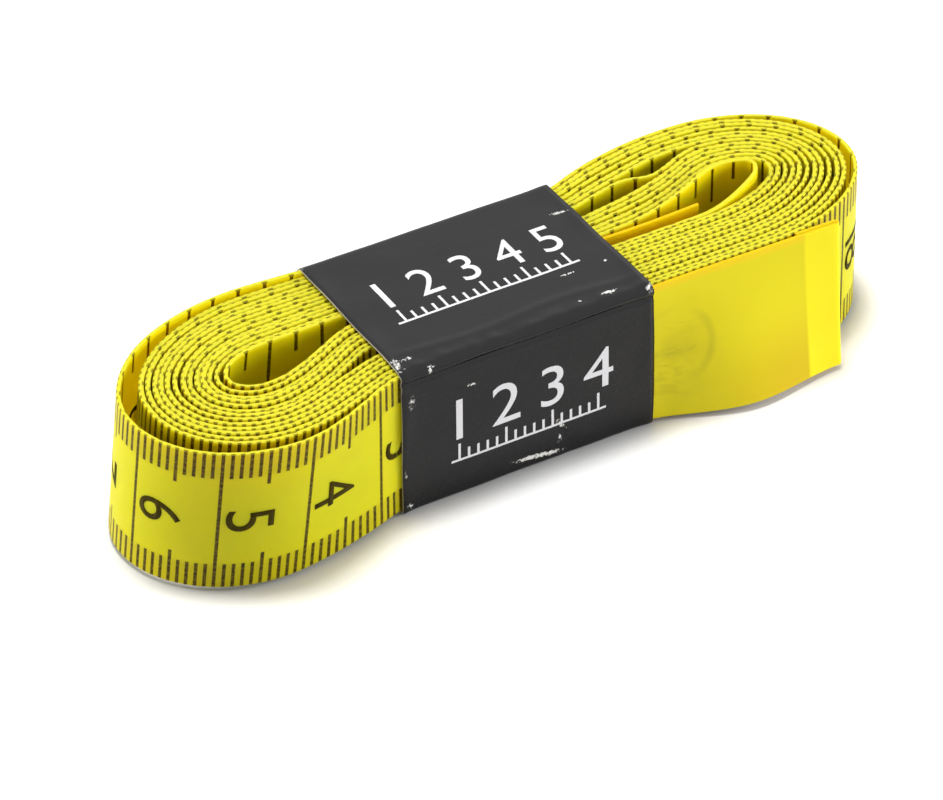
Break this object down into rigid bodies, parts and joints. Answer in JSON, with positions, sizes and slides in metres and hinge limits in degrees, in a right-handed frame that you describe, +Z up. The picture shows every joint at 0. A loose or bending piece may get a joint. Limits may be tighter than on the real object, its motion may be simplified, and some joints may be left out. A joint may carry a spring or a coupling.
{
  "type": "cloth tape measure",
  "caption": "Flexible sewing tape measure wound flat into an oval coil that stands on its edge, held round the middle by a glued paper band, with the tape's free end lying along the front.",
  "frame": {"origin": "centre of the paper band's underside, on which the tape measure stands", "axes": "+Z up, +X along the coil towards the lobe beside the free end, -Y towards the front where the free end lies"},
  "size_m": [0.0935, 0.0288, 0.02],
  "materials": {
    "printed_tape": "coated glass-fibre cloth, satin, printed in black",
    "blank_tape": "coated glass-fibre cloth, satin",
    "shaded_tape": "coated glass-fibre cloth, satin",
    "black_paper": "glossy coated paper, scuffed white at its edges",
    "dried_glue": "dried paper glue"
  },
  "bodies": {
    "coil": {"tape_coil": "printed_tape", "tape_inner_end": "shaded_tape"},
    "free_end": {"tape_free_end": "blank_tape"},
    "band": {"paper_band": "black_paper", "band_glue": "dried_glue"}
  },
  "joints": [
    {"name": "free_end_swing", "type": "hinge", "parent": "coil", "child": "free_end", "pos_m": [0.0161, -0.01059, 0.01], "axis": [0, 0, -1], "range_deg": [0, 100]},
    {"name": "band_slide", "type": "slide", "parent": "coil", "child": "band", "axis": [-1, 0, 0], "range_m": [0, 0.06], "deforming": ["tape_coil"]}
  ]
}
